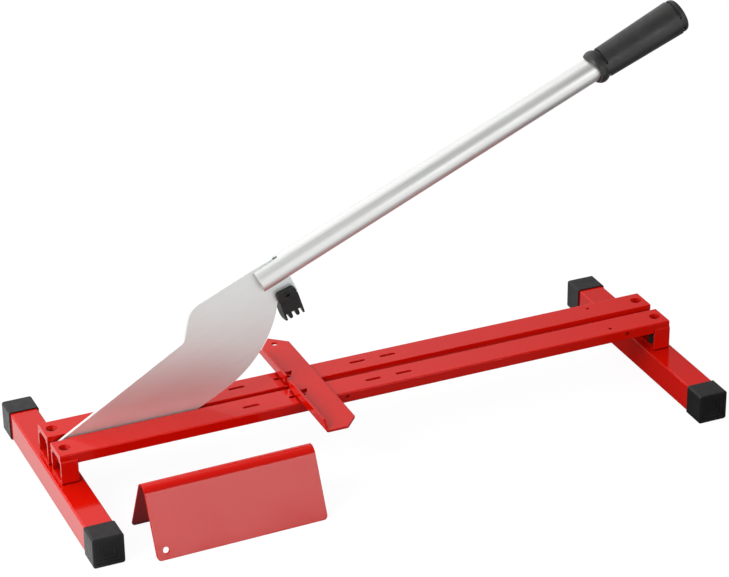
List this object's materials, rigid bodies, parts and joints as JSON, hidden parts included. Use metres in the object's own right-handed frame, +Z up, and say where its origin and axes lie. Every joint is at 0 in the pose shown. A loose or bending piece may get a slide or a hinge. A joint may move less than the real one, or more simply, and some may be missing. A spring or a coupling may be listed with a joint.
{
  "type": "laminate flooring cutter",
  "caption": "Bench cutter for laminate flooring: hinged blade with a long tube handle over slotted steel rails on tube legs, with a plug-in fence and a loose folded plank support.",
  "frame": {"origin": "on the floor under the middle of the whole, with the lever raised as in the picture and the plank support in front", "axes": "+X along the rails from the pivot end to the grip end, +Y across the rails away from the plank support, +Z up"},
  "size_m": [0.8356, 0.3644, 0.4841],
  "materials": {
    "red_paint": "glossy red powder coat",
    "black_rubber": "smooth black moulding",
    "black_plastic": "matte black moulding",
    "blade_steel": "satin ground steel",
    "tube_aluminium": "bright drawn tube",
    "zinc_steel": "zinc plated",
    "black_steel": "black oxide"
  },
  "bodies": {
    "base": {"front_rail": "red_paint", "back_rail": "red_paint", "left_front_post": "red_paint", "left_back_post": "red_paint", "right_front_post": "red_paint", "right_back_post": "red_paint", "left_leg": "red_paint", "right_leg": "red_paint", "left_front_cap": "black_rubber", "left_back_cap": "black_rubber", "right_front_cap": "black_rubber", "right_back_cap": "black_rubber", "base_bolts": "black_steel", "base_washers": "black_steel", "base_nuts": "zinc_steel", "pivot_bolt": "red_paint", "pivot_nut": "red_paint", "front_pivot_spacer": "red_paint", "back_pivot_spacer": "red_paint"},
    "cutting_lever": {"blade": "blade_steel", "handle_tube": "tube_aluminium", "grip": "black_plastic", "blade_buffer": "black_rubber", "buffer_screw": "zinc_steel", "buffer_nut": "zinc_steel"},
    "fence": {"fence": "red_paint"},
    "plank_support": {"plank_support": "red_paint"}
  },
  "joints": [
    {"name": "blade_hinge", "type": "hinge", "parent": "base", "child": "cutting_lever", "pos_m": [-0.39673, 0.00775, 0.05278], "axis": [0, -1, 0], "range_deg": [-17, 45]},
    {"name": "fence_slide", "type": "slide", "parent": "base", "child": "fence", "axis": [1, 0, 0], "range_m": [-0.0058, 0.0092]},
    {"name": "support_slide", "type": "slide", "parent": "base", "child": "plank_support", "axis": [0, -1, 0], "range_m": [0, 0.15]}
  ]
}
